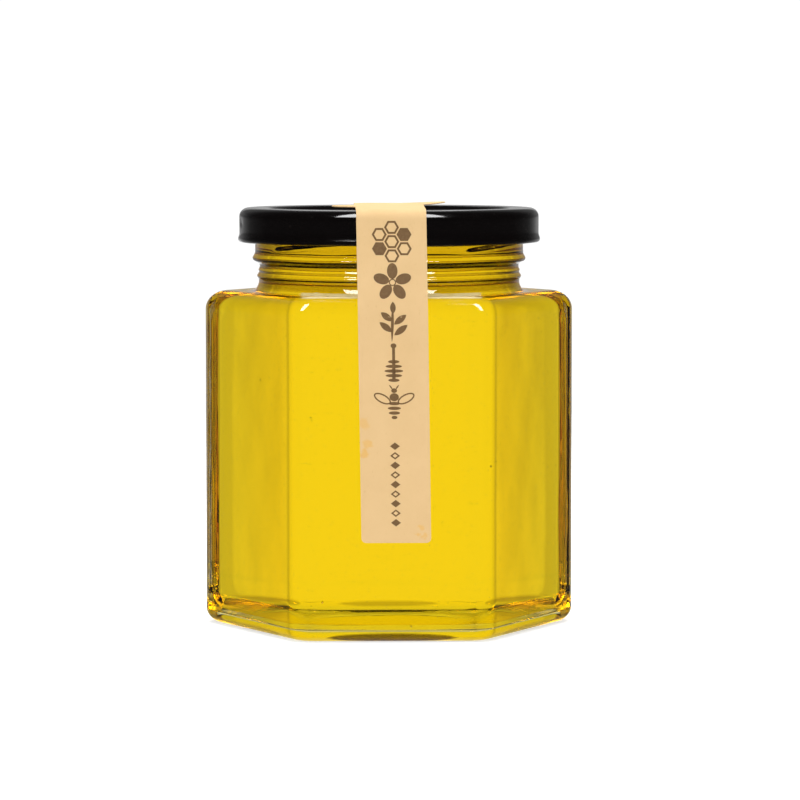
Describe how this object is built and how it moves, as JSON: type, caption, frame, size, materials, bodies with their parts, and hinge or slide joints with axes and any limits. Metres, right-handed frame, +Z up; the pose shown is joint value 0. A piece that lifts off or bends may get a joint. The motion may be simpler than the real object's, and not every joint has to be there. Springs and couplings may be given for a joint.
{
  "type": "glass jar",
  "caption": "Six-sided clear glass jar full of bright yellow honey, shut by a glossy black twist-off metal lid, with a kraft paper seal strip over the lid and down the front.",
  "frame": {"origin": "centre of the flat base that the jar stands on", "axes": "+Z up through the lid; -Y is the front face that carries the long end of the paper seal; +X to the right of that face, through a corner of the hexagon"},
  "size_m": [0.081, 0.072, 0.0932],
  "materials": {
    "clear_glass": "gloss",
    "honey": "gloss",
    "black_lacquer": "gloss",
    "kraft_paper": "matte"
  },
  "bodies": {
    "root": {"glass_jar": "clear_glass", "honey": "honey", "metal_lid": "black_lacquer", "paper_seal": "kraft_paper"}
  },
  "joints": []
}
